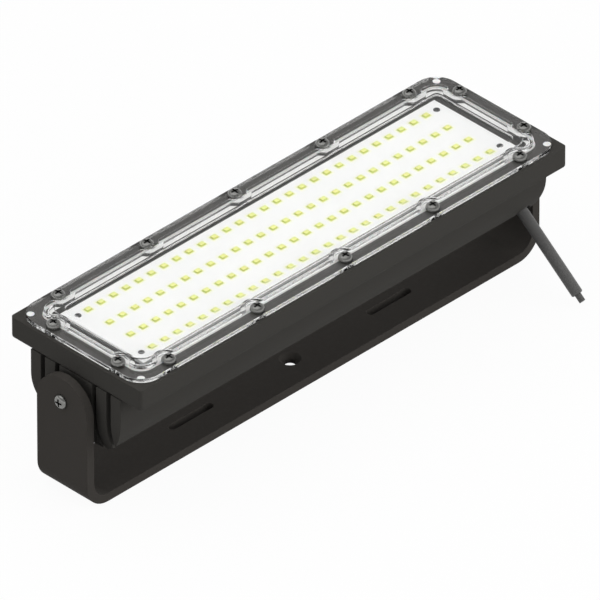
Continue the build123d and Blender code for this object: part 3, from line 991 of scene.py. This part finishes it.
# %% Pivot screws, one at each end
pivot_head_height = 2.6 * millimetre
for side, outward in (("left", -1), ("right", 1)):
    low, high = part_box("pivot_screw_" + side)
    seat_x = (high.x - pivot_head_height) if outward > 0 else (low.x + pivot_head_height)
    pivot_screw = grow(
        "pivot_" + side + "_screw",
        pan_screws,
        {
            "Head Diameter": high.y - low.y,
            "Head Height": pivot_head_height,
            "Shank Diameter": 5.0 * millimetre,
            "Shank Length": high.x - low.x - pivot_head_height,
            "Recess Reach": 5.2 * millimetre,
            "Recess Width": 1.2 * millimetre,
            "Recess Depth": 2.2 * millimetre,
            "Direction": (0.0, outward * math.pi / 2, 0.0),
            "Seed": 5 + outward,
            "Finish": screw_plating,
            "Recess Painted Shade": recess_shade,
        },
        [(seat_x, (low.y + high.y) / 2, (low.z + high.z) / 2)],
    )
    stand_in(pivot_screw, "head", "pivot_screw_" + side)

# %% [markdown]
# ## The clear cover
# The cover is clear plastic, thin over the LEDs and thicker at its rim. Most of what the eye sees there
# is bent light: white lines where a wall throws the background sideways, and dark ones where it shows the
# casting. A true glass shader gives these by itself, but only if the surfaces are clean. The CAD mesh
# brings its own normals, which are exact on flats and fillets, so this piece is a copy of it and keeps
# them. Only its underside is lifted by a hair. That leaves the thin film of air that the real cover has
# over the flange, and the rim gets its reflections from that film. Glass stops the light on its way to
# the board, so for shadow rays the cover is plainly transparent, and only its steep walls hold some light
# back. The outer edge is a little rough, as it comes from the mould.

# %% Copy the cover and lift its underside
air_film = 0.04 * millimetre
cover_mesh = nodes["lens_cover"].data.copy()
for vertex in cover_mesh.vertices:
    vertex.co.z = max(vertex.co.z, cover_low.z + air_film)
cover_mesh.materials.clear()
clear_cover = bpy.data.objects.new("clear_cover", cover_mesh)
bpy.context.scene.collection.objects.link(clear_cover)
stand_in(clear_cover, "head", "lens_cover")

# %% Clear plastic
clear_plastic, tree, glass = new_material(
    "clear_plastic", {"Base Color": (1, 1, 1, 1), "IOR": 1.49, "Transmission Weight": 1.0, "Metallic": 0.0}
)
face_roughness, edge_roughness = 0.02, 0.16
edge_skin = 0.15 * millimetre
edge_corner = 12.35 * millimetre
all_light, less_light = (1, 1, 1, 1), (0.62, 0.62, 0.62, 1)
skin = place_group(tree, skin_grain, {"Grain Size": 4 * millimetre, "Patch Size": 30 * millimetre})
inside_edge = masked_zone(tree, cover_high.x - edge_skin, cover_high.y - edge_skin, edge_corner)
outer_edge = math_node(tree, "SUBTRACT", 1.0, inside_edge)
moulded_edge = math_node(tree, "MULTIPLY", outer_edge, edge_roughness)
polish = math_node(tree, "MULTIPLY", skin.outputs["Patches"], face_roughness)
tree.links.new(math_node(tree, "ADD", polish, moulded_edge), glass.inputs["Roughness"])
upward = part_of(tree, add(tree, "ShaderNodeNewGeometry").outputs["Normal"], "Z")
flatness = math_node(tree, "ABSOLUTE", upward)
steep = add(
    tree, "ShaderNodeMapRange", {"Value": flatness, "From Min": 0.7, "From Max": 0.2}
).outputs["Result"]
lets_light_in = add(
    tree, "ShaderNodeBsdfTransparent", {"Color": mix_colours(tree, steep, all_light, less_light)}
)
ray = add(tree, "ShaderNodeLightPath")
either = add(
    tree,
    "ShaderNodeMixShader",
    {0: ray.outputs["Is Shadow Ray"], 1: glass.outputs[0], 2: lets_light_in.outputs[0]},
)
tree.links.new(either.outputs[0], tree.nodes["Material Output"].inputs["Surface"])
cover_mesh.materials.append(clear_plastic)
print("cover has", len(cover_mesh.polygons), "faces")

# %% [markdown]
# ## Floor and light
# The photograph is a studio picture on plain white. The floor is grey paper that keeps a soft shadow. For
# rays that come straight from the camera, or by way of a polished or clear surface, it is mostly plain
# white. The world is plain white for the camera too. What the cover and the metal show of it is a
# brighter white low down, like a wall, and grey from about 20 degrees up, where the Z of a direction of
# length 1 is 0.35. Of the three lamps they mirror only the one overhead. That keeps the rim of the cover
# dark, with white lines, and the LEDs readable from every side.

# %% Floor
floor_mesh = bpy.data.meshes.new("floor")
reach = 4.0
floor_drop = 0.2 * millimetre
paper_grey = (0.33, 0.33, 0.33, 1)
floor_glow, glow_share = 1.1, 0.86
floor_corners = [(-reach, -reach, 0), (reach, -reach, 0), (reach, reach, 0), (-reach, reach, 0)]
floor_mesh.from_pydata(floor_corners, [], [(0, 1, 2, 3)])
floor = bpy.data.objects.new("floor", floor_mesh)
floor.location.z = -floor_drop
bpy.context.scene.collection.objects.link(floor)


def clear_sight(tree):
    """1 for rays from the camera, a mirror or a clear surface, and 0 for those that light matt surfaces."""
    ray = add(tree, "ShaderNodeLightPath").outputs
    seen = math_node(tree, "MAXIMUM", ray["Is Camera Ray"], ray["Is Glossy Ray"])
    seen = math_node(tree, "MAXIMUM", seen, ray["Is Transmission Ray"])
    return math_node(tree, "MULTIPLY", seen, math_node(tree, "LESS_THAN", ray["Diffuse Depth"], 0.5))


floor_paper, tree, paper = new_material(
    "floor_paper", {"Base Color": paper_grey, "Roughness": 0.9, "Specular IOR Level": 0.0}
)
plain_white = add(tree, "ShaderNodeEmission", {"Color": (1, 1, 1, 1), "Strength": floor_glow})
share = math_node(tree, "MULTIPLY", clear_sight(tree), glow_share)
blend = add(tree, "ShaderNodeMixShader", {0: share, 1: paper.outputs[0], 2: plain_white.outputs[0]})
tree.links.new(blend.outputs[0], tree.nodes["Material Output"].inputs["Surface"])
floor_mesh.materials.append(floor_paper)
print("floor", 2 * reach, "m wide")

# %% World
sky_strength = 0.5
wall_strength, ceiling_strength = 1.4, 0.5
wall_height, ceiling_height = 0.2, 0.35
world = bpy.data.worlds.new("studio")
world.use_nodes = True
bpy.context.scene.world = world
tree = world.node_tree
sky = tree.nodes["Background"]
sky.inputs["Color"].default_value = (1, 1, 1, 1)
sky.inputs["Strength"].default_value = sky_strength
up = part_of(tree, add(tree, "ShaderNodeTexCoord").outputs["Generated"], "Z")
above_wall = add(
    tree, "ShaderNodeMapRange", {"Value": up, "From Min": wall_height, "From Max": ceiling_height}
).outputs["Result"]
fall = math_node(tree, "MULTIPLY", above_wall, wall_strength - ceiling_strength)
mirrored_strength = math_node(tree, "SUBTRACT", wall_strength, fall)
straight = add(tree, "ShaderNodeLightPath").outputs["Is Camera Ray"]
not_straight = math_node(tree, "SUBTRACT", 1.0, straight)
seen_strength = math_node(
    tree, "ADD", straight, math_node(tree, "MULTIPLY", mirrored_strength, not_straight)
)
surroundings = add(tree, "ShaderNodeBackground", {"Color": (1, 1, 1, 1), "Strength": seen_strength})
blend = add(
    tree, "ShaderNodeMixShader", {0: clear_sight(tree), 1: sky.outputs[0], 2: surroundings.outputs[0]}
)
tree.links.new(blend.outputs[0], tree.nodes["World Output"].inputs["Surface"])
print("world:", world.name)

# %% Lamps
lamp_aim = Vector((0, 0, 60)) * millimetre


def soft_lamp(name, place, size, watts, mirrored):
    """A square soft lamp that looks at the flood light. Only a mirrored one shows in glossy surfaces."""
    data = bpy.data.lights.new(name, "AREA")
    data.size, data.energy = size, watts
    light = bpy.data.objects.new(name, data)
    bpy.context.scene.collection.objects.link(light)
    light.location = place
    light.rotation_euler = (Vector(place) - lamp_aim).to_track_quat("Z", "Y").to_euler()
    light.visible_glossy = mirrored


soft_lamp("overhead_softbox", (-0.2, 0.5, 1.95), size=2.4, watts=18, mirrored=True)
soft_lamp("front_softbox", (0.9, -1.7, 0.5), size=2.2, watts=39, mirrored=False)
soft_lamp("left_softbox", (-1.9, -0.3, 0.4), size=1.6, watts=11, mirrored=False)
print("3 lamps aimed at", [round(x, 3) for x in lamp_aim])

# %% [markdown]
# ## Bounces and view
# A ray through the clear cover meets many surfaces, so it may bounce often. The view uses the plain
# Standard transform.

# %% Bounces and view
view_settings = bpy.context.scene.view_settings
view_settings.view_transform = "Standard"
rays = bpy.context.scene.cycles
rays.max_bounces, rays.glossy_bounces, rays.transmission_bounces = 32, 24, 24
